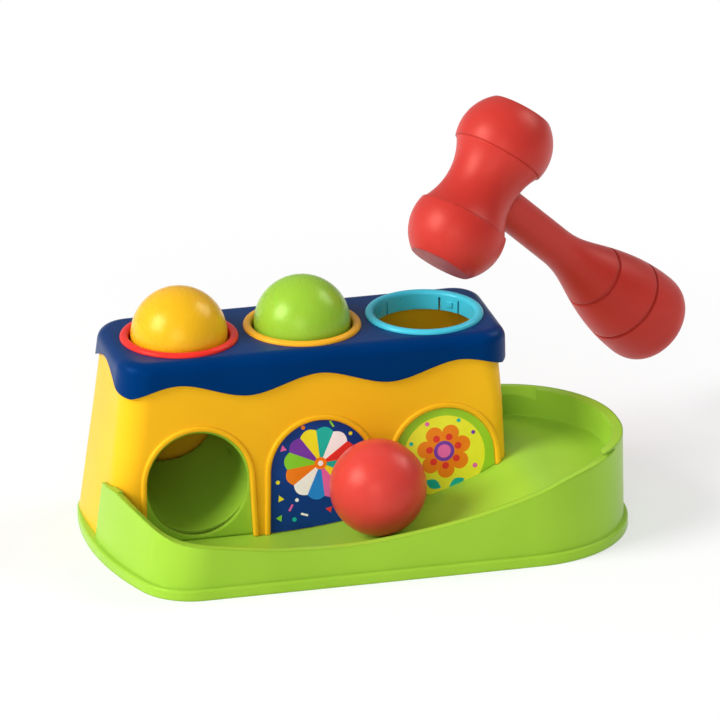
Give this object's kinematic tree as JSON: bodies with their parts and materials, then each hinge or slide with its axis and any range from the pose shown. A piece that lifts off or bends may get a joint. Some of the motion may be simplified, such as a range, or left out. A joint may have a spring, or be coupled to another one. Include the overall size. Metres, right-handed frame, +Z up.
{
  "type": "pounding toy",
  "caption": "Toddler's pounding bench: balls are hammered through rings in a tapered shell and roll out into a curved trough; a double-headed hammer comes with it.",
  "frame": {"origin": "on the floor, under the axis of the middle ring, at the base's flat underside", "axes": "+X along the row of rings towards the round end of the trough, +Y to the back, +Z up"},
  "size_m": [0.3164, 0.1818, 0.1886],
  "materials": {
    "green_plastic": "moulded, satin gloss",
    "yellow_plastic": "moulded, satin gloss",
    "navy_plastic": "moulded, gloss",
    "red_ring_plastic": "moulded, gloss",
    "amber_ring_plastic": "moulded, gloss",
    "cyan_ring_plastic": "moulded, gloss",
    "navy_label": "printed film",
    "lime_label": "printed film",
    "yellow_ball_plastic": "moulded, gloss",
    "green_ball_plastic": "moulded, gloss",
    "red_ball_plastic": "moulded, gloss",
    "red_hammer_plastic": "moulded, satin",
    "screw_steel": "zinc plated"
  },
  "bodies": {
    "toy": {"base": "green_plastic", "housing": "yellow_plastic", "top_cover": "navy_plastic", "ring_left": "red_ring_plastic", "ring_middle": "amber_ring_plastic", "ring_right": "cyan_ring_plastic", "left_chute": "green_plastic", "inner_ramp": "green_plastic", "label_middle": "navy_label", "label_right": "lime_label", "cover_screws": "screw_steel", "base_screws": "screw_steel"},
    "yellow_ball": {"ball_yellow": "yellow_ball_plastic"},
    "green_ball": {"ball_green": "green_ball_plastic"},
    "red_ball": {"ball_red": "red_ball_plastic"},
    "hammer": {"hammer_waist": "red_hammer_plastic", "hammer_cap_upper": "red_hammer_plastic", "hammer_cap_lower": "red_hammer_plastic", "hammer_handle": "red_hammer_plastic", "hammer_screw": "screw_steel"}
  },
  "joints": [
    {"name": "ball_yellow_drop", "type": "slide", "parent": "toy", "child": "yellow_ball", "axis": [0, 0, -1], "range_m": [0, 0.058]},
    {"name": "ball_green_drop", "type": "slide", "parent": "toy", "child": "green_ball", "axis": [0, 0, -1], "range_m": [0, 0.032]},
    {"name": "ball_red_roll", "type": "hinge", "parent": "toy", "child": "red_ball", "pos_m": [-0.031, -0.0628, 0.3152], "axis": [0, 1, 0], "range_deg": [-9, 10.4]},
    {"name": "hammer_swing", "type": "hinge", "parent": "toy", "child": "hammer", "pos_m": [0.17392, 0.05552, 0.06901], "axis": [-0.4503, 0.8908, -0.0614], "range_deg": [-5, 45]}
  ]
}
